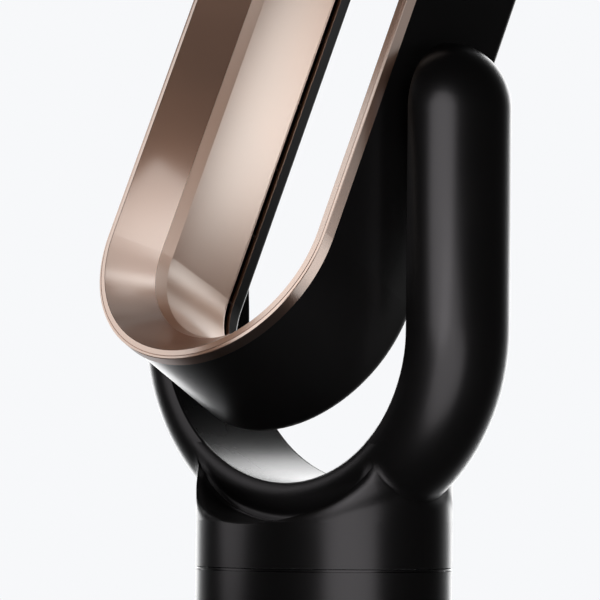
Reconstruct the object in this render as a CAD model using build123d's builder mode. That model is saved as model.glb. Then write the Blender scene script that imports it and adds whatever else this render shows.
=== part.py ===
"""Bladeless fan: a stadium-shaped air loop that tilts in a fork, on a column that swivels.

Millimetres. +X is the fan's left-to-right axis, -Y is its front, +Z is up.
The origin is on the floor, on the axis of the column. The loop is modelled at its resting tilt.
"""
from build123d import *
from math import acos, cos, degrees, pi, radians, sin, tan
import os

os.makedirs("parts", exist_ok=True)

# ---------------------------------------------------------------- driving dimensions
# Column
column_radius = 102.6
column_wall = 3.0
seam_height = 330.0
foot_height = 4.0
foot_radius = 11.0
foot_inset = 24.0
foot_count = 6
tray_height = 32.0
tray_floor = 4.0
tray_rim = 6.0
drum_height = 84.0
drum_floor = 3.0
drum_deck = 4.0
panel_gap = 0.3

# Swivel joint
swivel_ring_height = 1.4
swivel_groove = 0.7
swivel_ring_recess = 0.4
swivel_sleeve_inset = 6.0
swivel_sleeve_wall = 2.4
deck_drop = 7.0
bearing_inset = 46.0
bearing_width = 6.0
bearing_flange = 3.0
bearing_depth = 7.0
running_clearance = 0.05
turntable_thickness = 4.0
turntable_gap = 8.2
spigot_wall = 4.0
swivel_module = 1.5
swivel_gear_inset = 30.6
swivel_pinion_teeth = 12
swivel_travel = 45.0
swivel_motor_radius = 11.0
swivel_motor_length = 20.0
pinion_shaft_radius = 3.0
pinion_shaft_depth = 10.0
swivel_spare_teeth = 4
pressure_angle = radians(20)
tooth_backlash = 0.12
dedendum = 1.25

# Fork
fork_side_gap = 11.6
fork_floor_height = 68.4
fork_pivot_height = 364.4
arm_half_depth = 53.0
arm_bulge = 47.8
arm_wall = 3.0
arm_edge_break = 1.2
left_arm_half_depth = 43.0
left_arm_bulge = 34.0
left_arm_stages = 6
saddle_drop = 32.4
saddle_spread = 20.0
horn_inset = 9.8
horn_blend = 10.0
saddle_wall = 4.0
cover_thickness = 3.0
cover_gap = 0.2
air_port_length = 120.0
air_port_width = 56.0

# Tilt pivot
trunnion_radius = 18.0
trunnion_collar = 26.0
trunnion_spigot = 16.0
trunnion_bore = 12.0
trunnion_seat = 14.0
collar_gap = 0.4
bush_wall = 5.0
bush_length = 10.0
bush_flange = 2.0
boss_wall = 4.0
tilt_module = 1.0
tilt_gear_teeth = 64
tilt_pinion_teeth = 18
tilt_gear_face = 6.0
tilt_gear_offset = 22.0
tilt_motor_radius = 13.0
tilt_motor_length = 17.0
tilt_spare_teeth = 2
clip_thickness = 2.0
clip_overlap = 3.0
clip_play = 0.4
rest_tilt = 27.9
tilt_forward_limit = 20.0
tilt_back_limit = 90.0

# Air loop, measured from its front rim's outer corner: inset towards the opening, depth backwards
loop_half_width = 112.0
loop_half_straight = 152.9
loop_depth = 126.9
pivot_setback = 74.7
loop_wall = 2.5
shell_step = 1.35
shell_front = 10.4
shell_back_round = 8.0
rim_inset = 6.5
rim_rise = 1.9
rim_groove_inset = 1.9
rim_groove_width = 0.7
rim_corner = 0.5
rim_fillet = 1.0
diffuser_inset = 34.2
diffuser_depth = 28.6
crease_inset = 39.3
crease_depth = 37.4
seam_shelf_inset = 2.0
seam_shelf_depth = 1.75
throat_inset = 47.0
throat_depth = 105.0
slot_width = 7.7
slot_ring_height = 0.9
slot_ring_proud = 0.2
slot_curl = 4.5
lip_round = 4.5
line_gap = 0.25
spacer_count = 6
spacer_thickness = 2.0

# Intake, filter and fan
shroud_slots = 48
shroud_rows = 3
shroud_slot_width = 5.0
shroud_land = 12.0
filter_gap = 5.0
filter_thickness = 26.0
filter_pleats = 48
filter_pleat_depth = 6.0
filter_cap = 4.0
filter_cap_overlap = 1.0
filter_seal = 4.0
filter_deck = 3.0
core_gap = 5.0
core_wall = 3.0
core_slots = 12
core_slot_width = 20.0
fan_bore = 51.0
fan_housing_wall = 3.0
fan_inlet_radius = 46.0
impeller_radius = 50.0
impeller_height = 24.0
impeller_blades = 9
impeller_hub_radius = 24.0
blade_root_radius = 6.0
blade_thickness = 1.6
impeller_lean = 55.0
blade_end_gap = 1.0
hub_floor = 2.0
hub_skirt = 4.0
hub_nose_radius = 8.0
hub_flare_radius = 17.3
hub_flare_height = 9.6
fan_motor_radius = 25.0
fan_motor_length = 32.0
motor_shaft_radius = 2.5
bucket_wall = 2.5
vane_count = 9
vane_lean = -40.0
motor_gap = 4.0
motor_clearance = 0.2
housing_gap = 1.0

# Controls and power
display_radius = 14.0
display_drop = 46.0
button_radius = 6.0
button_stem_radius = 2.0
button_stem = 2.0
button_drop = 71.0
button_travel = 1.5
button_proud = 1.2
board_width = 52.0
board_height = 46.0
board_thickness = 1.6
board_corner = 3.0
board_setback = 12.0
post_width = 5.2
post_height = 23.0
post_offset = 21.7
inlet_width = 26.0
inlet_height = 14.0
inlet_depth = 20.0
inlet_centre = 21.0
inlet_wall = 3.0
inlet_recess = 1.2
inlet_cavity = 10.0
inlet_pin_radius = 1.2
inlet_pin_length = 8.0
inlet_pin_offset = 4.3
supply_length = 96.0
supply_width = 84.0
supply_corner = 6.0
supply_setback = 10.0
supply_headroom = 6.0
screw_radius = 2.0
screw_head_radius = 3.6
screw_head_height = 2.4
screw_count = 3
screw_start = 30.0

# ---------------------------------------------------------------- worked out from the above
tray_top = foot_height + tray_height
drum_top = seam_height - swivel_ring_height / 2 - swivel_groove
drum_bottom = drum_top - drum_height
deck_top = seam_height - deck_drop
deck_bottom = deck_top - drum_deck
fork_bottom = seam_height + swivel_ring_height / 2 + swivel_groove
turntable_bottom = deck_top + turntable_gap
turntable_top = turntable_bottom + turntable_thickness
column_bore = column_radius - column_wall
bearing_radius = column_radius - bearing_inset
spigot_radius = bearing_radius - spigot_wall
swivel_sleeve_radius = column_radius - swivel_sleeve_inset
filter_outer_radius = column_bore - filter_gap
filter_inner_radius = filter_outer_radius - filter_thickness
core_radius = filter_inner_radius - core_gap
foot_circle = column_radius - foot_inset
screw_circle = foot_circle - 2 * foot_radius
fork_inner_radius = loop_half_width + fork_side_gap
fork_centre_height = seam_height + fork_floor_height + fork_inner_radius
pivot_height = seam_height + fork_pivot_height
saddle_radius = fork_inner_radius + saddle_drop
horn_start = sin(radians(saddle_spread))
horn_radius = (column_radius - horn_inset - saddle_radius * horn_start) / (1 - horn_start)
swivel_gear_teeth = 2 * round((column_radius - swivel_gear_inset) / swivel_module)
swivel_gear_radius = swivel_module * swivel_gear_teeth / 2
swivel_pinion_radius = swivel_module * swivel_pinion_teeth / 2
swivel_pinion_circle = swivel_gear_radius + swivel_pinion_radius
tilt_gear_radius = tilt_module * tilt_gear_teeth / 2
tilt_pinion_drop = tilt_module * (tilt_gear_teeth + tilt_pinion_teeth) / 2
fork_axis = Axis((0, 0, fork_centre_height), (0, 1, 0))
pivot_axis = Axis((0, 0, pivot_height), (1, 0, 0))


# ---------------------------------------------------------------- shared helpers
def polar(radius, angle):
    """Point at a radius and an angle in radians."""
    return (radius * cos(angle), radius * sin(angle))


def ring(outer, inner, bottom, top, mode=Mode.ADD):
    """Plain ring about the column's axis."""
    with BuildSketch(Plane.XY.offset(bottom)) as face:
        Circle(outer)
        Circle(inner, mode=Mode.SUBTRACT)
    extrude(face.sketch, amount=top - bottom, mode=mode)


def disc(radius, bottom, top, mode=Mode.ADD):
    """Plain disc about the column's axis."""
    with BuildSketch(Plane.XY.offset(bottom)) as face:
        Circle(radius)
    extrude(face.sketch, amount=top - bottom, mode=mode)


def involute(angle):
    return tan(angle) - angle


def tooth(teeth, module):
    """One involute tooth centred on +X, with its foot sunk into the gear's rim."""
    pitch_radius = module * teeth / 2
    base_radius = pitch_radius * cos(pressure_angle)
    root_radius = pitch_radius - dedendum * module
    tip_radius = pitch_radius + module

    def half_angle(radius):
        slope = acos(min(1, base_radius / radius))
        width = (pi * module / 2 - tooth_backlash) / (2 * pitch_radius)
        return width + involute(pressure_angle) - involute(slope)

    foot = max(base_radius, root_radius)
    low = [polar(r, -half_angle(r)) for r in (foot, pitch_radius, tip_radius)]
    high = [(x, -y) for x, y in low]
    sunk = root_radius - module / 2
    with BuildSketch() as outline:
        with BuildLine():
            ThreePointArc(*low)
            Line(low[2], high[2])
            ThreePointArc(*reversed(high))
            Line(high[0], polar(sunk, half_angle(foot)))
            Line(polar(sunk, half_angle(foot)), polar(sunk, -half_angle(foot)))
            Line(polar(sunk, -half_angle(foot)), low[0])
        make_face()
    return outline.sketch


def gear(teeth, module, width, plane, bore, first=0.0, count=0):
    """Spur gear, or a sector of count teeth that starts at the angle first."""
    pitch = 360 / teeth
    blank = tooth(teeth, module)
    with BuildSketch(plane) as outline:
        Circle(module * (teeth / 2 - dedendum))
        for index in range(count or teeth):
            add(blank.rotate(Axis.Z, first + pitch * index))
        if bore:
            Circle(bore, mode=Mode.SUBTRACT)
    extrude(outline.sketch, amount=width, dir=plane.z_dir)


# ---------------------------------------------------------------- the loop's wall
loop_plane = Plane(
    origin=(0, 0, pivot_height),
    x_dir=(1, 0, 0),
    z_dir=(0, -cos(radians(rest_tilt)), sin(radians(rest_tilt))),
)


def limb_plane(side):
    """Section plane where a limb meets its bend: x runs outward, y runs to the front."""
    origin = loop_plane.from_local_coords((0, -side * loop_half_straight, 0))
    return Plane(origin=origin, x_dir=loop_plane.x_dir * side, z_dir=-loop_plane.y_dir * side)


def wall_point(inset, depth):
    """Section coordinates of a point given by its inset and depth."""
    return (loop_half_width - inset, pivot_setback - depth)


def carry_round_loop(section):
    """Turn a wall section about both bends and draw it along both limbs."""
    for side in (1, -1):
        plane = limb_plane(side)
        wall = section(plane)
        revolve(wall, axis=Axis(plane.origin, -loop_plane.z_dir), revolution_arc=180)
        extrude(wall, amount=2 * loop_half_straight, dir=-plane.z_dir)


def outer_shell_section(plane):
    """Side wall, rear wall and the lip folded forward round the air slot."""
    outer_round, inner_round = shell_back_round, shell_back_round - loop_wall
    front = shell_front + line_gap
    round_start = loop_depth - shell_back_round
    round_end = shell_step + shell_back_round
    lip_front = throat_depth + slot_width + slot_ring_height
    lip_inner = throat_inset - loop_wall
    inner_back = loop_depth - loop_wall
    side_front = wall_point(shell_step, front)
    side_back = wall_point(shell_step, round_start)
    back_outer = wall_point(round_end, loop_depth)
    back_inner = wall_point(throat_inset - lip_round, loop_depth)
    lip_back = wall_point(throat_inset, loop_depth - lip_round)
    lip_tip = wall_point(throat_inset, lip_front)
    hollow_tip = wall_point(lip_inner, lip_front)
    hollow_lip = wall_point(lip_inner, inner_back)
    hollow_back = wall_point(round_end, inner_back)
    hollow_side = wall_point(shell_step + loop_wall, round_start)
    hollow_front = wall_point(shell_step + loop_wall, front)
    with BuildSketch(plane) as wall:
        with BuildLine():
            Line(side_front, side_back)
            RadiusArc(side_back, back_outer, outer_round)
            Line(back_outer, back_inner)
            RadiusArc(back_inner, lip_back, lip_round)
            Polyline(lip_back, lip_tip, hollow_tip, hollow_lip, hollow_back)
            RadiusArc(hollow_back, hollow_side, -inner_round)
            Polyline(hollow_side, hollow_front, side_front)
        make_face()
    return wall.sketch


def front_rim_section(plane):
    """Bronze side band and the sloped front rim, with a fine groove near its corner."""
    slope = rim_rise / rim_inset
    groove = rim_groove_inset
    with BuildSketch(plane) as wall:
        Polygon(
            wall_point(0, shell_front),
            wall_point(0, rim_corner),
            wall_point(rim_corner, 0),
            wall_point(groove, -groove * slope),
            wall_point(groove + rim_groove_width / 2, rim_groove_width / 2 - groove * slope),
            wall_point(groove + rim_groove_width, -(groove + rim_groove_width) * slope),
            wall_point(rim_inset, -rim_rise),
            wall_point(rim_inset, loop_wall),
            wall_point(loop_wall, loop_wall + rim_fillet),
            wall_point(loop_wall, shell_front),
            align=None,
        )
    return wall.sketch


def diffuser_section(plane):
    """Conical face from the front rim to the fine seam."""
    start = Vector(rim_inset + line_gap, line_gap - rim_rise)
    end = Vector(diffuser_inset, diffuser_depth)
    along = (end - start).normalized()
    inward = Vector(-along.Y, along.X) * loop_wall
    corners = [start, end, end + inward, start + Vector(0, loop_wall)]
    with BuildSketch(plane) as wall:
        Polygon(*[wall_point(p.X, p.Y) for p in corners], align=None)
    return wall.sketch


def liner_section(plane):
    """Throat wall from the seam past the crease to the curl that forms the slot's front."""
    curl_end = throat_depth + slot_curl
    start = wall_point(diffuser_inset, diffuser_depth + line_gap)
    crease = wall_point(crease_inset, crease_depth)
    throat = wall_point(throat_inset, throat_depth)
    curl_tip = wall_point(throat_inset - slot_curl, curl_end)
    curl_inner = wall_point(throat_inset - slot_curl, curl_end - loop_wall)
    hollow_throat = wall_point(throat_inset - loop_wall, throat_depth)
    hollow_crease = wall_point(crease_inset - loop_wall, crease_depth)
    shelf = wall_point(diffuser_inset - seam_shelf_inset, diffuser_depth + line_gap + seam_shelf_depth)
    with BuildSketch(plane) as wall:
        with BuildLine():
            Polyline(start, crease, throat)
            RadiusArc(throat, curl_tip, -slot_curl)
            Line(curl_tip, curl_inner)
            RadiusArc(curl_inner, hollow_throat, slot_curl - loop_wall)
            Polyline(hollow_throat, hollow_crease, shelf, start)
        make_face()
    return wall.sketch


def slot_ring_section(plane):
    """Narrow bright ring on the front edge of the rear lip."""
    front = throat_depth + slot_width
    back = front + slot_ring_height
    proud = throat_inset + slot_ring_proud
    seated = throat_inset - loop_wall
    corners = [(proud, front), (proud, back), (seated, back), (seated, front)]
    with BuildSketch(plane) as wall:
        Polygon(*[wall_point(inset, depth) for inset, depth in corners], align=None)
    return wall.sketch


# ---------------------------------------------------------------- loop pieces
def pivot_hole(radius, near, far):
    """Hole across a side wall about the tilt pivot, on both sides of the loop."""
    for side in (1, -1):
        with BuildSketch(Plane.YZ.offset(side * near)) as hole:
            with Locations((0, pivot_height)):
                Circle(radius)
        extrude(hole.sketch, amount=far - near, dir=(side, 0, 0), mode=Mode.SUBTRACT)


with BuildPart() as loop_outer_shell:
    carry_round_loop(outer_shell_section)
    pivot_hole(
        trunnion_spigot,
        loop_half_width - shell_step - 2 * loop_wall,
        loop_half_width,
    )
loop_outer_shell.part.label = "loop_outer_shell"
export_step(loop_outer_shell.part, "parts/loop_outer_shell.step")

with BuildPart() as front_rim_ring:
    carry_round_loop(front_rim_section)
front_rim_ring.part.label = "front_rim_ring"
export_step(front_rim_ring.part, "parts/front_rim_ring.step")

with BuildPart() as diffuser_ring:
    carry_round_loop(diffuser_section)
diffuser_ring.part.label = "diffuser_ring"
export_step(diffuser_ring.part, "parts/diffuser_ring.step")

with BuildPart() as throat_liner:
    carry_round_loop(liner_section)
throat_liner.part.label = "throat_liner"
export_step(throat_liner.part, "parts/throat_liner.step")

with BuildPart() as slot_ring:
    carry_round_loop(slot_ring_section)
slot_ring.part.label = "slot_ring"
export_step(slot_ring.part, "parts/slot_ring.step")


def spacer_places():
    """Loop-plane points of the slot spacers: along both limbs and round both bends."""
    middle = loop_half_width - throat_inset + slot_curl
    steps = [-1 + 2 * index / (spacer_count - 1) for index in range(spacer_count)]
    limbs = [(side * middle, step * loop_half_straight, 0) for side in (1, -1) for step in steps]
    bends = []
    for side in (1, -1):
        for turn in (-45, 0, 45):
            x, y = polar(middle, radians(90 - turn))
            bends.append((x, side * (loop_half_straight + y), -side * turn))
    return limbs, bends


with BuildPart() as slot_spacers:
    rear = loop_plane.offset(pivot_setback - loop_depth + loop_wall)
    height = loop_depth - loop_wall - throat_depth - slot_curl
    limbs, bends = spacer_places()
    with BuildSketch(rear) as fins:
        with Locations([(x, y) for x, y, turn in limbs]):
            Rectangle(2 * spacer_thickness, spacer_thickness)
        for x, y, turn in bends:
            with Locations(Location((x, y, 0), (0, 0, turn))):
                Rectangle(spacer_thickness, 2 * spacer_thickness)
    extrude(amount=height)
slot_spacers.part.label = "slot_spacers"
export_step(slot_spacers.part, "parts/slot_spacers.step")


# ---------------------------------------------------------------- fork
def arm_section(plane, bulge, half_depth, edge):
    """Half ellipse that bulges outward from the arm's flat inner face."""
    angle = degrees(acos(edge / bulge))
    tip = (fork_inner_radius + edge, half_depth * sin(radians(angle)))
    corner = (fork_inner_radius, tip[1] - edge)
    with BuildSketch(plane) as wall:
        with BuildLine():
            EllipticalCenterArc((fork_inner_radius, 0), bulge, half_depth, -angle, arc_size=2 * angle)
            Line(corner, (corner[0], -corner[1]))
            if edge:
                Line(tip, corner)
                Line((corner[0], -corner[1]), (tip[0], -tip[1]))
        make_face()
    return wall.sketch


def round_arm_top(section, mode=Mode.ADD):
    """Round one arm's top off about the pivot by turning the rear half of its section."""
    with BuildSketch(Plane.XY.offset(pivot_height)) as half:
        add(section)
        with Locations((0, -fork_inner_radius)):
            Rectangle(4 * fork_inner_radius, 2 * fork_inner_radius, mode=Mode.SUBTRACT)
    revolve(half.sketch, axis=pivot_axis, revolution_arc=180, mode=mode)


def slimming_arm(inset, edge, mode=Mode.ADD):
    """Left arm, eased from the bend's section to a slimmer one at the pivot, with its round top."""
    stages = []
    for step in range(left_arm_stages + 1):
        share = step / left_arm_stages
        ease = (1 - cos(pi * share)) / 2
        bulge = arm_bulge + (left_arm_bulge - arm_bulge) * ease - inset
        half_depth = arm_half_depth + (left_arm_half_depth - arm_half_depth) * ease - inset
        height = fork_centre_height + (pivot_height - fork_centre_height) * share
        stages.append(arm_section(Plane.XY.offset(height), bulge, half_depth, edge).mirror(Plane.YZ))
    loft(stages, mode=mode)
    top = arm_section(Plane.XY, left_arm_bulge - inset, left_arm_half_depth - inset, edge)
    round_arm_top(top.mirror(Plane.YZ), mode=mode)


def fork_body(inset, edge, mode=Mode.ADD):
    """Whole fork volume, drawn in by an inset: bend, straight right arm and slimming left arm."""
    level = Plane.XY.offset(fork_centre_height)
    section = arm_section(level, arm_bulge - inset, arm_half_depth - inset, edge)
    revolve(section, axis=fork_axis, revolution_arc=180, mode=mode)
    extrude(section, amount=pivot_height - fork_centre_height, dir=(0, 0, 1), mode=mode)
    round_arm_top(arm_section(Plane.XY, arm_bulge - inset, arm_half_depth - inset, edge), mode=mode)
    slimming_arm(inset, edge, mode=mode)


def cross_cylinder(radius, mode=Mode.SUBTRACT):
    """Cylinder along Y about the fork's centre, as wide as the column."""
    with BuildSketch(Plane.XZ.offset(-column_radius)) as face:
        with Locations((0, fork_centre_height)):
            Circle(radius)
    extrude(face.sketch, amount=2 * column_radius, dir=(0, -1, 0), mode=mode)


def saddle_cut():
    """Scoop across the column's top: a wide bowl whose ends sweep up into horns."""
    spread = radians(saddle_spread)
    middle = (spread + pi / 2) / 2
    offset = saddle_radius - horn_radius
    centre = (offset * sin(spread), fork_centre_height - offset * cos(spread))
    bowl = (saddle_radius * sin(spread), fork_centre_height - saddle_radius * cos(spread))
    sweep = (centre[0] + horn_radius * sin(middle), centre[1] - horn_radius * cos(middle))
    horn = (centre[0] + horn_radius, centre[1])
    top = (horn[0], fork_centre_height)
    left = [(-x, z) for x, z in (top, horn, sweep, bowl)]
    with BuildSketch(Plane.XZ.offset(-column_radius)) as face:
        with BuildLine():
            ThreePointArc(left[1], left[2], left[3])
            ThreePointArc(left[3], (0, fork_centre_height - saddle_radius), bowl)
            ThreePointArc(bowl, sweep, horn)
            Polyline(horn, top, left[0], left[1])
        make_face()
    extrude(face.sketch, amount=2 * column_radius, dir=(0, -1, 0), mode=Mode.SUBTRACT)


def along_pivot(side, profile, mode=Mode.ADD):
    """Turn a profile of (distance from the centre, radius) points about the tilt pivot."""
    with BuildSketch(Plane.XY.offset(pivot_height)) as face:
        with BuildLine():
            Polyline(*[(side * x, r) for x, r in profile], close=True)
        make_face()
    revolve(face.sketch, axis=pivot_axis, mode=mode)


with BuildPart() as fork_shell:
    disc(column_radius, fork_bottom, fork_centre_height)
    saddle_cut()
    cross_cylinder(fork_inner_radius + arm_edge_break)
    fork_body(0, arm_edge_break)
    seam = [
        edge
        for edge in fork_shell.edges().filter_by(GeomType.BSPLINE)
        if abs(edge.center().X) > column_radius - horn_blend
        and abs(edge.center().Y) < arm_half_depth / 2
        and edge.center().Z < seam_height + fork_floor_height + arm_bulge
    ]
    # The blend stays within half the step from the column out to the fork's inner face
    fillet(seam, min(horn_blend, (fork_inner_radius - column_radius) / 2))
    fork_body(arm_wall, 0, mode=Mode.SUBTRACT)
    with BuildPart(mode=Mode.PRIVATE) as collar_hollow:
        disc(column_bore, turntable_top + turntable_thickness, fork_centre_height)
        cross_cylinder(saddle_radius + saddle_wall)
    add(collar_hollow.part, mode=Mode.SUBTRACT)
    disc(column_bore, fork_bottom, turntable_top, mode=Mode.SUBTRACT)
    disc(spigot_radius, turntable_top, turntable_top + turntable_thickness, mode=Mode.SUBTRACT)
    with BuildSketch(Plane.XZ.offset(-air_port_width / 2)) as port:
        with Locations((0, fork_centre_height - saddle_radius)):
            Rectangle(air_port_length, saddle_radius / 2)
        with Locations((0, fork_centre_height)):
            Circle(saddle_radius - 2 * arm_wall, mode=Mode.SUBTRACT)
        with Locations((0, turntable_bottom)):
            Rectangle(air_port_length, 4 * turntable_thickness, mode=Mode.SUBTRACT)
    extrude(port.sketch, amount=air_port_width, dir=(0, -1, 0), mode=Mode.SUBTRACT)
fork_shell.part.label = "fork_shell"
export_step(fork_shell.part, "parts/fork_shell.step")

bush_inner_radius = trunnion_radius + running_clearance
bush_outer_radius = bush_inner_radius + bush_wall
bush_end = fork_inner_radius + bush_length
boss_bore = bush_outer_radius + running_clearance
boss_radius = boss_bore + boss_wall

with BuildPart() as fork_inner_cover:
    fork_body(arm_wall + cover_gap, 0)
    reach = fork_inner_radius + cover_thickness
    rise = pivot_height + arm_half_depth - fork_centre_height
    with BuildSketch(Plane.XZ.offset(-column_radius)) as skin:
        with Locations((0, fork_centre_height)):
            Circle(reach)
            Rectangle(2 * reach, rise, align=(Align.CENTER, Align.MIN))
    extrude(skin.sketch, amount=2 * column_radius, dir=(0, -1, 0), mode=Mode.INTERSECT)
    for side in (1, -1):
        boss = [
            (fork_inner_radius, boss_bore),
            (bush_end, boss_bore),
            (bush_end, boss_radius),
            (fork_inner_radius, boss_radius),
        ]
        along_pivot(side, boss)
        bore = [
            (fork_inner_radius, 0),
            (bush_end, 0),
            (bush_end, boss_bore),
            (fork_inner_radius, boss_bore),
        ]
        along_pivot(side, bore, mode=Mode.SUBTRACT)
fork_inner_cover.part.label = "fork_inner_cover"
export_step(fork_inner_cover.part, "parts/fork_inner_cover.step")

with BuildPart() as turntable:
    thrust_radius = bearing_radius + bearing_width + bearing_flange
    ring(column_bore - cover_gap, spigot_radius, turntable_bottom, turntable_top)
    ring(thrust_radius, spigot_radius, deck_top + bearing_flange, turntable_bottom)
    ring(bearing_radius, spigot_radius, deck_top - bearing_depth, deck_top + bearing_flange)
turntable.part.label = "turntable"
export_step(turntable.part, "parts/turntable.step")

swivel_pitch = 360 / swivel_gear_teeth
swivel_gear_count = 2 * (round(swivel_travel / swivel_pitch) + swivel_spare_teeth) + 1
gear_bottom = deck_top + bearing_flange + panel_gap
with BuildPart() as swivel_gear:
    gear(
        swivel_gear_teeth,
        swivel_module,
        turntable_bottom - gear_bottom,
        Plane.XY.offset(gear_bottom),
        thrust_radius + cover_gap,
        first=90 - swivel_pitch * (swivel_gear_count - 1) / 2,
        count=swivel_gear_count,
    )
swivel_gear.part.label = "swivel_gear"
export_step(swivel_gear.part, "parts/swivel_gear.step")


# The right trunnion carries the tilt gear between its shoulder and its clip, the left one only a clip
gear_shoulder = fork_inner_radius + tilt_gear_offset
plain_shoulder = bush_end + bush_flange + clip_play
pivot_sides = (
    (1, "right", gear_shoulder, tilt_gear_face),
    (-1, "left", plain_shoulder, 0),
)
for side, label, shoulder, gear_room in pivot_sides:
    clip_start = shoulder + gear_room
    clip_end = clip_start + clip_thickness
    with BuildPart() as pivot_bush:
        profile = [
            (fork_inner_radius, bush_inner_radius),
            (bush_end + bush_flange, bush_inner_radius),
            (bush_end + bush_flange, boss_radius),
            (bush_end, boss_radius),
            (bush_end, bush_outer_radius),
            (fork_inner_radius, bush_outer_radius),
        ]
        along_pivot(side, profile)
    pivot_bush.part.label = f"pivot_bush_{label}"
    export_step(pivot_bush.part, f"parts/pivot_bush_{label}.step")

    with BuildPart() as trunnion:
        loop_face = loop_half_width - shell_step
        collar_end = fork_inner_radius - collar_gap
        profile = [
            (loop_face - 2 * loop_wall, trunnion_bore),
            (clip_end, trunnion_bore),
            (clip_end, trunnion_seat),
            (shoulder, trunnion_seat),
            (shoulder, trunnion_radius),
            (collar_end, trunnion_radius),
            (collar_end, trunnion_collar),
            (loop_face, trunnion_collar),
            (loop_face, trunnion_spigot - running_clearance),
            (loop_face - 2 * loop_wall, trunnion_spigot - running_clearance),
        ]
        along_pivot(side, profile)
    trunnion.part.label = f"trunnion_{label}"
    export_step(trunnion.part, f"parts/trunnion_{label}.step")

    with BuildPart() as pivot_clip:
        profile = [
            (clip_start, trunnion_seat + running_clearance),
            (clip_end, trunnion_seat + running_clearance),
            (clip_end, trunnion_radius + clip_overlap),
            (clip_start, trunnion_radius + clip_overlap),
        ]
        along_pivot(side, profile)
    pivot_clip.part.label = f"pivot_clip_{label}"
    export_step(pivot_clip.part, f"parts/pivot_clip_{label}.step")

# The gear planes stand square to the pivot: local x along -Z, local y along +Y, z along +X
gear_plane = Plane(
    origin=(gear_shoulder, 0, pivot_height),
    x_dir=(0, 0, -1),
    z_dir=(1, 0, 0),
)
tilt_pitch = 360 / tilt_gear_teeth
tilt_middle = (tilt_back_limit + tilt_forward_limit) / 2 - tilt_forward_limit - rest_tilt
tilt_half_sweep = (tilt_back_limit + tilt_forward_limit) / 2
tilt_half_count = round(tilt_half_sweep / tilt_pitch) + tilt_spare_teeth
tilt_first = (round(tilt_middle / tilt_pitch) - tilt_half_count) * tilt_pitch
with BuildPart() as tilt_gear:
    gear(
        tilt_gear_teeth,
        tilt_module,
        tilt_gear_face,
        gear_plane,
        trunnion_seat + running_clearance,
        first=tilt_first,
        count=2 * tilt_half_count + 1,
    )
tilt_gear.part.label = "tilt_gear"
export_step(tilt_gear.part, "parts/tilt_gear.step")

pinion_plane = Plane(
    origin=(gear_shoulder, 0, pivot_height - tilt_pinion_drop),
    x_dir=(0, 0, 1),
    z_dir=(1, 0, 0),
)
tilt_motor_end = fork_inner_radius + cover_thickness + tilt_motor_length
with BuildPart() as tilt_pinion:
    half_pitch = 180 / tilt_pinion_teeth
    gear(tilt_pinion_teeth, tilt_module, tilt_gear_face, pinion_plane, 0, first=half_pitch)
    with BuildSketch(pinion_plane) as shaft:
        Circle(pinion_shaft_radius)
    extrude(shaft.sketch, amount=gear_shoulder - tilt_motor_end + pinion_shaft_depth, dir=(-1, 0, 0))
tilt_pinion.part.label = "tilt_pinion"
export_step(tilt_pinion.part, "parts/tilt_pinion.step")

motor_plane = pinion_plane.offset(fork_inner_radius + cover_thickness - pinion_plane.origin.X)
with BuildPart() as tilt_motor:
    with BuildSketch(motor_plane) as can:
        Circle(tilt_motor_radius)
    extrude(can.sketch, amount=tilt_motor_length, dir=(1, 0, 0))
    with BuildSketch(motor_plane.offset(tilt_motor_length)) as bore:
        Circle(pinion_shaft_radius + running_clearance)
    extrude(bore.sketch, amount=pinion_shaft_depth + panel_gap, dir=(-1, 0, 0), mode=Mode.SUBTRACT)
tilt_motor.part.label = "tilt_motor"
export_step(tilt_motor.part, "parts/tilt_motor.step")

# ---------------------------------------------------------------- swivel split
ring_bottom = drum_top + swivel_groove
with BuildPart() as swivel_ring:
    ring_outer = column_radius - swivel_ring_recess
    ring(ring_outer, swivel_sleeve_radius, ring_bottom, ring_bottom + swivel_ring_height)
    ring(swivel_sleeve_radius + swivel_sleeve_wall, swivel_sleeve_radius, deck_top, ring_bottom)
swivel_ring.part.label = "swivel_ring"
export_step(swivel_ring.part, "parts/swivel_ring.step")

with BuildPart() as swivel_bearing:
    bearing_inner = bearing_radius + running_clearance
    bearing_outer = bearing_radius + bearing_width
    ring(bearing_outer, bearing_inner, deck_top - bearing_depth, deck_top)
    ring(bearing_outer + bearing_flange, bearing_inner, deck_top, deck_top + bearing_flange)
swivel_bearing.part.label = "swivel_bearing"
export_step(swivel_bearing.part, "parts/swivel_bearing.step")

pinion_spot = (0, swivel_pinion_circle)
with BuildPart() as swivel_motor:
    with BuildSketch(Plane.XY.offset(deck_bottom)) as can:
        with Locations(pinion_spot):
            Circle(swivel_motor_radius)
    extrude(can.sketch, amount=swivel_motor_length, dir=(0, 0, -1))
    with BuildSketch(Plane.XY.offset(deck_bottom)) as bore:
        with Locations(pinion_spot):
            Circle(pinion_shaft_radius + running_clearance)
    extrude(bore.sketch, amount=pinion_shaft_depth + panel_gap, dir=(0, 0, -1), mode=Mode.SUBTRACT)
swivel_motor.part.label = "swivel_motor"
export_step(swivel_motor.part, "parts/swivel_motor.step")

with BuildPart() as swivel_pinion:
    pinion_face = turntable_bottom - gear_bottom - panel_gap
    spot = Plane(origin=(0, swivel_pinion_circle, gear_bottom), x_dir=(0, -1, 0), z_dir=(0, 0, 1))
    half_pitch = 180 / swivel_pinion_teeth
    gear(swivel_pinion_teeth, swivel_module, pinion_face, spot, 0, first=half_pitch)
    with BuildSketch(spot) as shaft:
        Circle(pinion_shaft_radius)
    extrude(shaft.sketch, amount=gear_bottom - deck_bottom + pinion_shaft_depth, dir=(0, 0, -1))
swivel_pinion.part.label = "swivel_pinion"
export_step(swivel_pinion.part, "parts/swivel_pinion.step")


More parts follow.
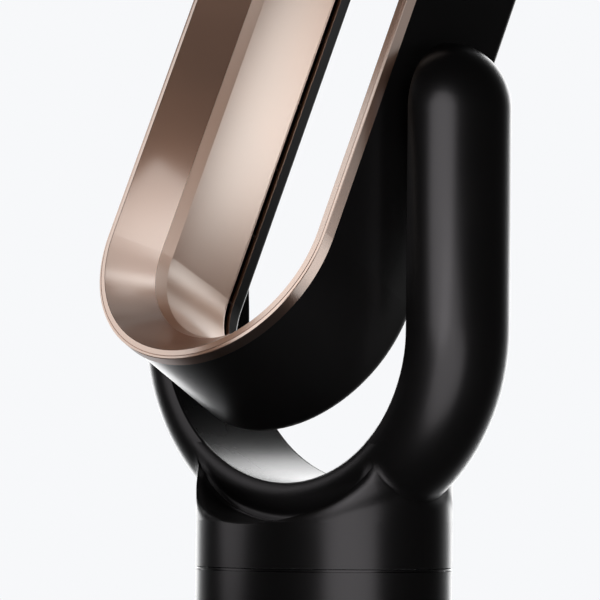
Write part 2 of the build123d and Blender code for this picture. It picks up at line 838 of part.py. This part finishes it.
# ---------------------------------------------------------------- column drum
def front_hole(radius, drop, near, far, mode=Mode.SUBTRACT):
    """Round prism along Y on the column's front, centred a drop below the seam."""
    with BuildSketch(Plane.XZ.offset(near)) as face:
        with Locations((0, seam_height - drop)):
            Circle(radius)
    extrude(face.sketch, amount=far - near, dir=(0, -1, 0), mode=mode)


board_face = column_bore - board_setback
board_centre = seam_height - (display_drop + button_drop) / 2
with BuildPart() as upper_drum:
    ring(column_radius, column_bore, drum_bottom, drum_top)
    ring(column_radius - column_wall / 2, fan_inlet_radius, drum_bottom, drum_bottom + drum_floor)
    ring(column_radius - column_wall / 2, bearing_radius + bearing_width, deck_bottom, deck_top)
    with BuildSketch(Plane.XY.offset(deck_bottom)) as shaft_hole:
        with Locations(pinion_spot):
            Circle(pinion_shaft_radius + panel_gap)
    extrude(shaft_hole.sketch, amount=drum_deck, mode=Mode.SUBTRACT)
    for side in (1, -1):
        with BuildSketch(Plane.XZ.offset(board_face)) as post:
            with Locations((side * post_offset, board_centre)):
                Rectangle(post_width, post_height)
        extrude(post.sketch, until=Until.NEXT, dir=(0, -1, 0))
    front_hole(display_radius + panel_gap / 2, display_drop, board_face, column_radius)
    front_hole(button_radius + panel_gap / 2, button_drop, board_face, column_radius)
upper_drum.part.label = "upper_drum"
export_step(upper_drum.part, "parts/upper_drum.step")

with BuildPart() as display_window:
    disc(column_radius - panel_gap / 2, drum_bottom, drum_top)
    front_hole(display_radius, display_drop, column_radius - 2 * column_wall, column_radius, Mode.INTERSECT)
display_window.part.label = "display_window"
export_step(display_window.part, "parts/display_window.step")

with BuildPart() as power_button:
    stem_end = board_face + button_travel + panel_gap
    button_back = stem_end + button_stem
    front_hole(button_radius, button_drop, button_back, column_radius + button_proud, Mode.ADD)
    front_hole(button_stem_radius, button_drop, stem_end, button_back, Mode.ADD)
power_button.part.label = "power_button"
export_step(power_button.part, "parts/power_button.step")

with BuildPart() as control_board:
    with BuildSketch(Plane.XZ.offset(board_face)) as board:
        with Locations((0, board_centre)):
            RectangleRounded(board_width, board_height, board_corner)
    extrude(board.sketch, amount=board_thickness, dir=(0, 1, 0))
control_board.part.label = "control_board"
export_step(control_board.part, "parts/control_board.step")

# ---------------------------------------------------------------- fan
housing_bottom = drum_bottom + drum_floor
housing_top = deck_top - bearing_depth - housing_gap
with BuildPart() as fan_housing:
    ring(fan_bore + fan_housing_wall, fan_bore, housing_bottom, housing_top)
    ring(fan_bore + 3 * fan_housing_wall, fan_bore, housing_bottom, housing_bottom + drum_floor)
fan_housing.part.label = "fan_housing"
export_step(fan_housing.part, "parts/fan_housing.step")

impeller_bottom = housing_bottom + 2 * panel_gap
impeller_top = impeller_bottom + impeller_height
motor_bottom = impeller_top + motor_gap
motor_top = motor_bottom + fan_motor_length
bucket_inner = fan_motor_radius + motor_clearance
bucket_outer = bucket_inner + bucket_wall


def blade_strip(inner, outer, lean):
    """Curved strip from one radius to another that leans round by an angle in degrees."""
    start = polar(inner, 0)
    end = polar(outer, radians(lean))
    middle = polar((inner + outer) / 2, radians(lean * 0.3))
    with BuildSketch() as strip:
        with BuildLine() as spine:
            ThreePointArc(start, middle, end)
        trace(spine.line, line_width=blade_thickness)
    return strip.sketch


with BuildPart() as impeller:
    with BuildSketch(Plane.XZ) as hub:
        with BuildLine():
            Polyline(
                (0, impeller_bottom),
                (0, impeller_top),
                (impeller_hub_radius, impeller_top),
                (impeller_hub_radius, impeller_top - hub_skirt),
            )
            ThreePointArc(
                (impeller_hub_radius, impeller_top - hub_skirt),
                (hub_flare_radius, impeller_bottom + hub_flare_height),
                (hub_nose_radius, impeller_bottom),
            )
            Line((hub_nose_radius, impeller_bottom), (0, impeller_bottom))
        make_face()
    revolve(hub.sketch, axis=Axis.Z)
    blade = blade_strip(blade_root_radius, impeller_radius + blade_thickness, impeller_lean)
    for index in range(impeller_blades):
        turned = blade.rotate(Axis.Z, index * 360 / impeller_blades)
        span = impeller_height - 2 * blade_end_gap
        extrude(Plane.XY.offset(impeller_bottom + blade_end_gap) * turned, amount=span)
    disc(impeller_radius, impeller_bottom, impeller_top, Mode.INTERSECT)
    disc(motor_shaft_radius, impeller_bottom + hub_floor, impeller_top, Mode.SUBTRACT)
impeller.part.label = "impeller"
export_step(impeller.part, "parts/impeller.step")

with BuildPart() as motor_shaft:
    disc(motor_shaft_radius, impeller_bottom + hub_floor, motor_bottom + fan_motor_length / 2)
motor_shaft.part.label = "motor_shaft"
export_step(motor_shaft.part, "parts/motor_shaft.step")

with BuildPart() as fan_motor:
    disc(fan_motor_radius, motor_bottom, motor_top)
    bore_top = motor_bottom + fan_motor_length / 2 + panel_gap
    disc(motor_shaft_radius + running_clearance, motor_bottom, bore_top, Mode.SUBTRACT)
fan_motor.part.label = "fan_motor"
export_step(fan_motor.part, "parts/fan_motor.step")

with BuildPart() as guide_vanes:
    ring(bucket_outer, bucket_inner, motor_bottom, motor_top + bucket_wall)
    disc(bucket_outer, motor_top, motor_top + bucket_wall)
    vane = blade_strip(bucket_outer - bucket_wall / 2, fan_bore + blade_thickness, vane_lean)
    for index in range(vane_count):
        turned = vane.rotate(Axis.Z, index * 360 / vane_count)
        span = fan_motor_length - 2 * blade_end_gap
        extrude(Plane.XY.offset(motor_bottom + blade_end_gap) * turned, amount=span)
    disc(fan_bore - cover_gap, motor_bottom, motor_top + bucket_wall, Mode.INTERSECT)
guide_vanes.part.label = "guide_vanes"
export_step(guide_vanes.part, "parts/guide_vanes.step")

# ---------------------------------------------------------------- intake and filter
shroud_bottom = tray_top + panel_gap
shroud_top = drum_bottom - panel_gap


def slotted_sleeve(outer, inner, bottom, top, count, width, rows, land):
    """Sleeve with rows of tall slots, each row half a pitch round from the last."""
    ring(outer, inner, bottom, top)
    height = (top - bottom - (rows + 1) * land) / rows
    for row in range(rows):
        level = bottom + land + row * (height + land)
        with BuildSketch(Plane.XY.offset(level)) as openings:
            with PolarLocations(0, count, start_angle=row % 2 * 180 / count):
                with Locations(((inner + outer) / 2, 0)):
                    Rectangle(2 * (outer - inner), width)
        extrude(openings.sketch, amount=height, mode=Mode.SUBTRACT)


with BuildPart() as intake_shroud:
    slotted_sleeve(
        column_radius,
        column_bore,
        shroud_bottom,
        shroud_top,
        shroud_slots,
        shroud_slot_width,
        shroud_rows,
        shroud_land,
    )
intake_shroud.part.label = "intake_shroud"
export_step(intake_shroud.part, "parts/intake_shroud.step")

with BuildPart() as filter_base:
    disc(column_bore - panel_gap, tray_top, tray_top + filter_deck)
    core_seat = core_radius - core_wall - panel_gap
    ring(core_seat, core_seat - core_wall, tray_top, tray_top + 2 * filter_deck)
filter_base.part.label = "filter_base"
export_step(filter_base.part, "parts/filter_base.step")

core_bottom = tray_top + filter_deck
with BuildPart() as filter_core:
    slotted_sleeve(
        core_radius,
        core_radius - core_wall,
        core_bottom,
        drum_bottom,
        core_slots,
        core_slot_width,
        shroud_rows,
        shroud_land,
    )
filter_core.part.label = "filter_core"
export_step(filter_core.part, "parts/filter_core.step")

media_bottom = core_bottom + filter_cap
media_top = drum_bottom - filter_seal - filter_cap
with BuildPart() as filter_media:
    points = []
    for index in range(filter_pleats):
        turn = 2 * pi * index / filter_pleats
        points.append(polar(filter_outer_radius, turn))
        points.append(polar(filter_outer_radius - filter_pleat_depth, turn + pi / filter_pleats))
    with BuildSketch(Plane.XY.offset(media_bottom)) as pleats:
        Polygon(*points, align=None)
        Circle(filter_inner_radius, mode=Mode.SUBTRACT)
    extrude(pleats.sketch, amount=media_top - media_bottom)
filter_media.part.label = "filter_media"
export_step(filter_media.part, "parts/filter_media.step")

for label, level in (("lower", core_bottom), ("upper", media_top)):
    with BuildPart() as filter_cap_ring:
        outer = filter_outer_radius + filter_cap_overlap
        inner = filter_inner_radius - filter_cap_overlap
        ring(outer, inner, level, level + filter_cap)
    filter_cap_ring.part.label = f"filter_cap_{label}"
    export_step(filter_cap_ring.part, f"parts/filter_cap_{label}.step")

with BuildPart() as filter_gasket:
    ring(filter_outer_radius, filter_inner_radius, media_top + filter_cap, drum_bottom)
filter_gasket.part.label = "filter_gasket"
export_step(filter_gasket.part, "parts/filter_gasket.step")


# ---------------------------------------------------------------- base
def inlet_block(width, height, near, far, mode=Mode.ADD):
    """Rounded prism through the tray's back wall for the mains inlet."""
    with BuildSketch(Plane.XZ.offset(-near)) as face:
        with Locations((0, inlet_centre)):
            RectangleRounded(width, height, height / 3)
    extrude(face.sketch, amount=far - near, dir=(0, 1, 0), mode=mode)


with BuildPart() as base_tray:
    disc(column_radius, foot_height, tray_top)
    bottom_edge = base_tray.edges().group_by(Axis.Z)[0]
    chamfer(bottom_edge, tray_floor / 2)
    disc(column_radius - tray_rim, foot_height + tray_floor, tray_top, Mode.SUBTRACT)
    inlet_block(inlet_width, inlet_height, column_radius - 2 * tray_rim, column_radius, Mode.SUBTRACT)
    with BuildSketch(Plane.XY.offset(foot_height)) as screw_holes:
        with PolarLocations(screw_circle, screw_count, start_angle=screw_start):
            Circle(screw_radius + panel_gap / 2)
    extrude(screw_holes.sketch, amount=tray_floor, mode=Mode.SUBTRACT)
base_tray.part.label = "base_tray"
export_step(base_tray.part, "parts/base_tray.step")

with BuildPart() as mains_inlet:
    gap = panel_gap / 2
    inlet_outer = column_radius - inlet_recess
    inlet_floor = inlet_outer - inlet_cavity
    inlet_block(inlet_width - 2 * gap, inlet_height - 2 * gap, inlet_outer - inlet_depth, inlet_outer)
    cavity_width = inlet_width - 2 * inlet_wall
    cavity_height = inlet_height - 2 * inlet_wall
    inlet_block(cavity_width, cavity_height, inlet_floor, inlet_outer, Mode.SUBTRACT)
    with BuildSketch(Plane.XZ.offset(-inlet_floor)) as pins:
        with Locations((-inlet_pin_offset, inlet_centre), (inlet_pin_offset, inlet_centre)):
            Circle(inlet_pin_radius)
    extrude(pins.sketch, amount=inlet_pin_length, dir=(0, 1, 0))
mains_inlet.part.label = "mains_inlet"
export_step(mains_inlet.part, "parts/mains_inlet.step")

with BuildPart() as power_supply:
    with BuildSketch(Plane.XY.offset(foot_height + tray_floor)) as case:
        with Locations((0, -supply_setback)):
            RectangleRounded(supply_length, supply_width, supply_corner)
    extrude(case.sketch, amount=tray_height - tray_floor - supply_headroom)
power_supply.part.label = "power_supply"
export_step(power_supply.part, "parts/power_supply.step")

with BuildPart() as rubber_feet:
    with BuildSketch(Plane.XY) as pads:
        Circle(foot_radius)
        with PolarLocations(foot_circle, foot_count):
            Circle(foot_radius)
    extrude(pads.sketch, amount=foot_height)
rubber_feet.part.label = "rubber_feet"
export_step(rubber_feet.part, "parts/rubber_feet.step")

with BuildPart() as base_screws:
    with BuildSketch(Plane.XY.offset(foot_height)) as heads:
        with PolarLocations(screw_circle, screw_count, start_angle=screw_start):
            Circle(screw_head_radius)
    extrude(heads.sketch, amount=screw_head_height, dir=(0, 0, -1))
    with BuildSketch(Plane.XY.offset(foot_height)) as shanks:
        with PolarLocations(screw_circle, screw_count, start_angle=screw_start):
            Circle(screw_radius)
    extrude(shanks.sketch, amount=tray_floor)
base_screws.part.label = "base_screws"
export_step(base_screws.part, "parts/base_screws.step")
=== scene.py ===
"""Looks for the bladeless fan: finishes, floor, lights and the photograph's camera, in metres."""

from math import cos, pi, radians, sin

import bpy
from mathutils import Matrix, Vector

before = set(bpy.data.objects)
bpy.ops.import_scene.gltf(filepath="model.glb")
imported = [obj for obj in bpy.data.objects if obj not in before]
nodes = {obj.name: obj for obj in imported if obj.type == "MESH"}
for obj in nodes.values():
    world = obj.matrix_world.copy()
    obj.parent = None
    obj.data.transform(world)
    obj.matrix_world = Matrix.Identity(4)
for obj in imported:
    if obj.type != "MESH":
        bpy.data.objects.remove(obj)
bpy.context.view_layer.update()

# ---------------------------------------------------------------- camera
PIXEL = 0.0008                    # size of one photograph pixel at the column's axis
IMAGE_CENTRE = 300.0
FOCAL_PIXELS = 7191.0
AXIS_PIXEL = (323.8, 568.13)      # where the column's axis meets the swivel seam
SEAM = Vector((0, 0, 0.330))
CAMERA_AZIMUTH = radians(39.631)
CAMERA_ELEVATION = radians(-0.873)
CAMERA_ROLL = radians(0.5)
SENSOR = 36.0                     # in millimetres
SIGHT = 100                       # how far the camera sees


def make_camera():
    """Camera at the photograph's viewing angle, with its long lens."""
    azimuth, elevation, roll = CAMERA_AZIMUTH, CAMERA_ELEVATION, CAMERA_ROLL
    level_right = Vector((cos(azimuth), sin(azimuth), 0))
    look = Vector((-sin(azimuth) * cos(elevation), cos(azimuth) * cos(elevation), -sin(elevation)))
    level_up = level_right.cross(look)
    right = cos(roll) * level_right + sin(roll) * level_up
    up = -sin(roll) * level_right + cos(roll) * level_up
    aside = (AXIS_PIXEL[0] - IMAGE_CENTRE) * right + (IMAGE_CENTRE - AXIS_PIXEL[1]) * up
    data = bpy.data.cameras.new("camera")
    data.sensor_width = SENSOR
    data.lens = SENSOR * FOCAL_PIXELS / (2 * IMAGE_CENTRE)
    data.clip_end = SIGHT
    camera = bpy.data.objects.new("camera", data)
    bpy.context.scene.collection.objects.link(camera)
    turn = Matrix((right, up, -look)).transposed()
    camera.matrix_world = Matrix.Translation(SEAM - PIXEL * (aside + FOCAL_PIXELS * look)) @ turn.to_4x4()
    bpy.context.scene.camera = camera


# ---------------------------------------------------------------- shader helpers
def new_tree(owner):
    """Empty node tree of a material or world: its nodes and its links."""
    owner.use_nodes = True
    owner.node_tree.nodes.clear()
    return owner.node_tree.nodes, owner.node_tree.links


def ramp(tree, link, source, limits, results=(0, 1), easing="LINEAR"):
    """Turns a value between two limits into one between two results."""
    node = tree.new("ShaderNodeMapRange")
    node.interpolation_type = easing
    node.inputs["From Min"].default_value, node.inputs["From Max"].default_value = limits
    node.inputs["To Min"].default_value, node.inputs["To Max"].default_value = results
    link.new(source, node.inputs["Value"])
    return node.outputs["Result"]


def mixed(tree, link, share, first, second):
    """Blend of two shaders."""
    node = tree.new("ShaderNodeMixShader")
    link.new(share, node.inputs["Fac"])
    link.new(first, node.inputs[1])
    link.new(second, node.inputs[2])
    return node.outputs["Shader"]


def noise(tree, link, place, scale, detail):
    """Cloudy pattern that stays fixed to its piece, from 0 to 1."""
    node = tree.new("ShaderNodeTexNoise")
    node.inputs["Scale"].default_value = scale
    node.inputs["Detail"].default_value = detail
    link.new(place.outputs["Object"], node.inputs["Vector"])
    return node.outputs["Fac"]


# ---------------------------------------------------------------- surroundings
BACKGROUND = (0.930, 0.939, 0.956, 1)
BACKDROP_GLOW = 0.65              # the lit backdrop as the fan's glossy sides reflect it
# Cosines of the angles from the backdrop's middle where the glow starts to fade, and where it is gone
GLOW_FULL = 0.9
GLOW_GONE = 0.6
FRONT_FILL = 0.02                 # the dark surround in front of the fan
FLOOR_RADIUS = 6.0
FLOOR_SIDES = 96
FLOOR_PAPER = (0.82, 0.83, 0.85, 1)
FLOOR_NEAR = 0.6                  # distance from the column's axis where the floor starts to fade
FLOOR_FAR = 2.2


def compass(right):
    """Level direction from the column's axis, so many degrees to the right of the camera."""
    angle = CAMERA_AZIMUTH - pi / 2 + radians(right)
    return Vector((cos(angle), sin(angle), 0))


def make_world():
    """Pale all round for the camera; for reflections pale behind the fan and dark in front of it."""
    world = bpy.data.worlds.new("studio")
    bpy.context.scene.world = world
    tree, link = new_tree(world)
    place = tree.new("ShaderNodeTexCoord")
    facing = tree.new("ShaderNodeVectorMath")
    facing.operation = "DOT_PRODUCT"
    facing.inputs[1].default_value = -compass(0)
    link.new(place.outputs["Generated"], facing.inputs[0])
    glow = ramp(tree, link, facing.outputs["Value"], (GLOW_GONE, GLOW_FULL), (FRONT_FILL, BACKDROP_GLOW),
                easing="SMOOTHSTEP")
    reflected = tree.new("ShaderNodeBackground")
    reflected.inputs["Color"].default_value = BACKGROUND
    link.new(glow, reflected.inputs["Strength"])
    seen = tree.new("ShaderNodeBackground")
    seen.inputs["Color"].default_value = BACKGROUND
    path = tree.new("ShaderNodeLightPath")
    sky = mixed(tree, link, path.outputs["Is Camera Ray"], reflected.outputs["Background"],
                seen.outputs["Background"])
    output = tree.new("ShaderNodeOutputWorld")
    link.new(sky, output.inputs["Surface"])


def make_floor():
    """Pale round floor that keeps the fan's shadow and fades into the background."""
    bpy.ops.mesh.primitive_circle_add(vertices=FLOOR_SIDES, radius=FLOOR_RADIUS, fill_type="NGON")
    floor = bpy.context.object
    floor.name = "floor"
    material = bpy.data.materials.new("floor_paper")
    tree, link = new_tree(material)
    place = tree.new("ShaderNodeNewGeometry")
    reach = tree.new("ShaderNodeVectorMath")
    reach.operation = "LENGTH"
    link.new(place.outputs["Position"], reach.inputs[0])
    fade = ramp(tree, link, reach.outputs["Value"], (FLOOR_NEAR, FLOOR_FAR), easing="SMOOTHSTEP")
    paper = tree.new("ShaderNodeBsdfDiffuse")
    paper.inputs["Color"].default_value = FLOOR_PAPER
    glow = tree.new("ShaderNodeEmission")
    glow.inputs["Color"].default_value = BACKGROUND
    surface = mixed(tree, link, fade, paper.outputs["BSDF"], glow.outputs["Emission"])
    output = tree.new("ShaderNodeOutputMaterial")
    link.new(surface, output.inputs["Surface"])
    floor.data.materials.append(material)
    floor.visible_glossy = False
    return floor


# ---------------------------------------------------------------- lights
WHITE = (1, 1, 1)
ROSE = (1.0, 0.95, 0.99)
WARM = (0.99, 0.995, 0.96)
HIGH_AIM = 0.57                   # between the loop's foot and its pivot
LOW_AIM = 0.30                    # under the loop, near the swivel seam
BRONZE_PARTS = ("front_rim_ring", "diffuser_ring", "throat_liner", "slot_ring")


def lit_together(name, objects):
    """Collection of the objects that one set of soft lights serves."""
    group = bpy.data.collections.new(name)
    for member in objects:
        group.objects.link(member)
    return group


def make_groups(floor):
    """The groups of objects that have lamps of their own."""
    served = {
        "bronze": [nodes[name] for name in BRONZE_PARTS],
        "dark": [node for name, node in nodes.items() if name not in BRONZE_PARTS],
        "floor": [floor],
        "shell": [nodes["loop_outer_shell"]],
        "diffuser": [nodes["diffuser_ring"]],
        "throat": [nodes["throat_liner"]],
        "rim": [nodes["front_rim_ring"]],
        "wall": [nodes["throat_liner"], nodes["slot_ring"]],
    }
    return {name: lit_together(name + "_side", objects) for name, objects in served.items()}


def softbox(name, lit, place, size, radiance, tint=WHITE, shape="RECTANGLE", aim=None, blockers=None):
    """Soft light of one radiance for one group of objects, turned to the column's axis.

    place: degrees to the right of the camera, distance from the axis, height.
    size: width and height of its face.
    aim: height on the axis that it faces, or its own height where there is none.
    blockers: the objects that keep its light off, or every object where there are none.
    """
    right, distance, height = place
    width, tall = size
    area = width * tall * (pi / 4 if shape == "ELLIPSE" else 1)
    data = bpy.data.lights.new(name, "AREA")
    data.shape = shape
    data.size = width
    data.size_y = tall
    data.energy = radiance * area * pi
    data.color = tint
    lamp = bpy.data.objects.new(name, data)
    bpy.context.scene.collection.objects.link(lamp)
    lamp.location = compass(right) * distance + Vector((0, 0, height))
    lamp.rotation_mode = "QUATERNION"
    towards = Vector((0, 0, height if aim is None else aim)) - lamp.location
    lamp.rotation_quaternion = towards.to_track_quat("-Z", "Y")
    lamp.visible_camera = False
    lamp.light_linking.receiver_collection = lit
    lamp.light_linking.blocker_collection = blockers


def light_dark_pieces(dark):
    """Round lamps before and beside the fan, and the backdrop's glow behind it, for all but the bronze."""
    softbox("key", dark, (6, 0.60, 0.71), (0.44, 0.50), 2.2, ROSE, "ELLIPSE")
    softbox("key_low", dark, (22, 0.60, 0.30), (0.48, 0.60), 1.8, ROSE, "ELLIPSE")
    softbox("left", dark, (-84, 0.60, 0.76), (0.51, 1.04), 1.0, ROSE, "ELLIPSE")
    softbox("backdrop_glow", dark, (180, 1.50, 0.75), (2.00, 2.00), 2.7, WHITE, "ELLIPSE")


def light_floor(floor_group):
    """Large lamp straight above the fan, for the floor and the soft shadow on it."""
    softbox("floor_top", floor_group, (0, 0.0, 2.4), (3.2, 3.2), 2.6, aim=0.0)


def light_bronze(bronze):
    """Lamps that all the bronze rings mirror: on the left, and low and high on the right."""
    softbox("bronze_front_left", bronze, (-26, 0.45, 0.80), (0.31, 0.78), 1.60, WARM)
    softbox("bronze_left", bronze, (-95, 0.45, 0.76), (0.60, 0.70), 1.20, WARM)
    softbox("bronze_low", bronze, (65, 0.45, 0.43), (0.19, 0.38), 1.00, WARM)
    softbox("bronze_top", bronze, (71, 0.53, 1.35), (0.66, 0.58), 1.35, WARM, aim=HIGH_AIM)


def light_diffuser(diffuser):
    """Lamps of the conical face, two of them close to it for the bend at the loop's foot."""
    softbox("diffuser_front", diffuser, (18, 0.30, 0.77), (0.28, 0.18), 0.90, WARM)
    softbox("diffuser_near", diffuser, (-32, 0.16, 0.69), (0.11, 0.09), 0.75, WARM, aim=LOW_AIM)
    softbox("diffuser_over", diffuser, (-55, 0.06, 0.97), (0.16, 0.10), 0.35, WARM, aim=LOW_AIM)
    softbox("diffuser_rear", diffuser, (150, 0.40, 1.15), (0.90, 0.60), 0.30, WARM, aim=HIGH_AIM)


def light_inner_wall(wall, throat, floor_group):
    """Lamps of the opening's inner wall; the loop's other limb doesn't shade the one on the right."""
    softbox("wall_right", wall, (87, 0.45, 0.90), (0.22, 0.48), 3.10, WARM, blockers=floor_group)
    softbox("throat_front", throat, (16, 0.45, 0.77), (0.38, 0.24), 1.40, WARM)
    softbox("throat_rear", throat, (146, 0.60, 0.72), (0.40, 0.40), 1.80, WARM)


def light_rim(rim, floor_group):
    """Lamps of the front rim and its side band; the fork doesn't shade the one on the right."""
    softbox("rim_front", rim, (16, 0.45, 0.90), (0.38, 0.40), 0.70, WARM)
    softbox("rim_right", rim, (92, 0.90, 0.70), (0.90, 1.20), 0.36, WARM, blockers=floor_group)


def light_lip(shell):
    """Narrow lamp for the thin light line along the loop's rear lip."""
    softbox("lip", shell, (119, 0.33, 0.75), (0.08, 0.50), 0.6)


# ---------------------------------------------------------------- finishes
GRAIN = 0.0004                    # size of the moulded grain
GRAIN_DETAIL = 3
GRAIN_SHARE = 1 / 4               # depth of the grain as a share of its size
CLOUD_SCALE = 14
CLOUD_DETAIL = 4
CLOUD_LIMITS = (0.3, 0.7)         # the part of the noise's range that it mostly stays in
GLOSS_DRIFT = 0.04
SEAM_SAMPLES = 16
HORN_FOOT = (0.368, 0.430)        # heights between which the fork's horns run into the collar
HORN_ROUNDING = 0.012
BLACK = (0.0022, 0.0020, 0.0020)
METAL = {"metallic": 1.0}
LACQUERED_METAL = {"metallic": 1.0, "bump": 0.015, "coat": 1.0, "tone": 0.04}


def soften_seam(tree, link, place, relief, lowest, highest, radius):
    """Rounds the shading where the horns run into the collar, between two heights, so they flow together."""
    axes = tree.new("ShaderNodeSeparateXYZ")
    link.new(place.outputs["Object"], axes.inputs["Vector"])
    reach = tree.new("ShaderNodeMath")
    reach.operation = "COMPARE"
    reach.inputs[1].default_value = (lowest + highest) / 2
    reach.inputs[2].default_value = (highest - lowest) / 2
    link.new(axes.outputs["Z"], reach.inputs[0])
    size = tree.new("ShaderNodeMath")
    size.operation = "MULTIPLY"
    size.inputs[1].default_value = radius
    link.new(reach.outputs["Value"], size.inputs[0])
    rounded = tree.new("ShaderNodeBevel")
    rounded.samples = SEAM_SAMPLES
    link.new(size.outputs["Value"], rounded.inputs["Radius"])
    link.new(rounded.outputs["Normal"], relief.inputs["Normal"])


def grained(name, colour, roughness, metallic=0.0, bump=0.03, coat=0.0, coat_roughness=0.2, coat_ior=1.5,
            tone=0.06, blend=None):
    """Moulded or lacquered surface: fine grain in the bump and the tone, slow drift in the gloss."""
    material = bpy.data.materials.new(name)
    tree, link = new_tree(material)
    shader = tree.new("ShaderNodeBsdfPrincipled")
    shader.inputs["Metallic"].default_value = metallic
    shader.inputs["Coat Weight"].default_value = coat
    shader.inputs["Coat Roughness"].default_value = coat_roughness
    shader.inputs["Coat IOR"].default_value = coat_ior
    place = tree.new("ShaderNodeTexCoord")
    fine = noise(tree, link, place, 1 / GRAIN, GRAIN_DETAIL)
    relief = tree.new("ShaderNodeBump")
    relief.inputs["Strength"].default_value = bump
    relief.inputs["Distance"].default_value = GRAIN * GRAIN_SHARE
    link.new(fine, relief.inputs["Height"])
    link.new(relief.outputs["Normal"], shader.inputs["Normal"])
    if blend:
        soften_seam(tree, link, place, relief, *blend)
    slow = noise(tree, link, place, CLOUD_SCALE, CLOUD_DETAIL)
    gloss = ramp(tree, link, slow, CLOUD_LIMITS, (roughness - GLOSS_DRIFT / 2, roughness + GLOSS_DRIFT / 2))
    link.new(gloss, shader.inputs["Roughness"])
    speck = tree.new("ShaderNodeMix")
    speck.data_type = "RGBA"
    speck.inputs["A"].default_value = [c * (1 - tone) for c in colour] + [1]
    speck.inputs["B"].default_value = [c * (1 + tone) for c in colour] + [1]
    link.new(fine, speck.inputs["Factor"])
    link.new(speck.outputs["Result"], shader.inputs["Base Color"])
    output = tree.new("ShaderNodeOutputMaterial")
    link.new(shader.outputs["BSDF"], output.inputs["Surface"])
    return material


def dress(material, *names):
    """Gives one finish to the named pieces."""
    for name in names:
        mesh = nodes[name].data
        mesh.materials.clear()
        mesh.materials.append(material)


def dress_black_pieces():
    """Satin black of the housings; the fork's is softened at the foot of its horns."""
    dress(grained("black_satin", BLACK, 0.30),
          "loop_outer_shell", "upper_drum", "intake_shroud", "base_tray", "slot_spacers")
    dress(grained("fork_satin", BLACK, 0.30, blend=(*HORN_FOOT, HORN_ROUNDING)), "fork_shell")
    dress(grained("black_cover", BLACK, 0.26),
          "fork_inner_cover", "swivel_ring", "trunnion_right", "trunnion_left")


def dress_bronze():
    """Lacquered bronze of the loop's inner rings, softer in gloss on the throat's wall."""
    dress(grained("bronze_lacquer", (0.40, 0.20, 0.125), 0.35, coat_roughness=0.19, coat_ior=3.5,
                  **LACQUERED_METAL),
          "front_rim_ring", "diffuser_ring", "slot_ring")
    dress(grained("bronze_soft", (0.42, 0.21, 0.12), 0.46, coat_roughness=0.29, coat_ior=3.3,
                  **LACQUERED_METAL),
          "throat_liner")


def dress_fittings():
    """Button, display, feet, inlet and bare steel."""
    dress(grained("button_satin", (0.02, 0.02, 0.021), 0.4), "power_button")
    dress(grained("display_gloss", (0.004, 0.004, 0.005), 0.08, bump=0.0), "display_window")
    dress(grained("sole_rubber", (0.02, 0.02, 0.02), 0.8), "rubber_feet")
    dress(grained("inlet_black", (0.012, 0.012, 0.012), 0.5), "mains_inlet")
    dress(grained("turned_steel", (0.5, 0.5, 0.51), 0.3, **METAL),
          "base_screws", "pivot_clip_right", "pivot_clip_left", "motor_shaft")


def dress_inside():
    """Mouldings, gears, motors, filter and board behind the housings."""
    dress(grained("grey_moulding", (0.16, 0.165, 0.17), 0.5),
          "power_supply", "filter_base", "filter_core", "filter_cap_lower", "filter_cap_upper",
          "fan_housing", "guide_vanes", "turntable")
    dress(grained("impeller_moulding", (0.07, 0.075, 0.08), 0.45), "impeller")
    dress(grained("acetal", (0.75, 0.74, 0.7), 0.35),
          "swivel_bearing", "swivel_gear", "swivel_pinion", "tilt_gear", "tilt_pinion",
          "pivot_bush_right", "pivot_bush_left")
    dress(grained("motor_can", (0.6, 0.6, 0.61), 0.35, **METAL), "fan_motor", "tilt_motor", "swivel_motor")
    dress(grained("filter_paper", (0.8, 0.8, 0.77), 0.9), "filter_media")
    dress(grained("gasket_foam", (0.03, 0.03, 0.03), 0.85), "filter_gasket")
    dress(grained("board_lacquer", (0.02, 0.16, 0.07), 0.3), "control_board")


# ---------------------------------------------------------------- the scene
bpy.context.scene.view_settings.view_transform = "Standard"
make_camera()
make_world()
groups = make_groups(make_floor())
light_dark_pieces(groups["dark"])
light_floor(groups["floor"])
light_bronze(groups["bronze"])
light_diffuser(groups["diffuser"])
light_inner_wall(groups["wall"], groups["throat"], groups["floor"])
light_rim(groups["rim"], groups["floor"])
light_lip(groups["shell"])
dress_black_pieces()
dress_bronze()
dress_fittings()
dress_inside()
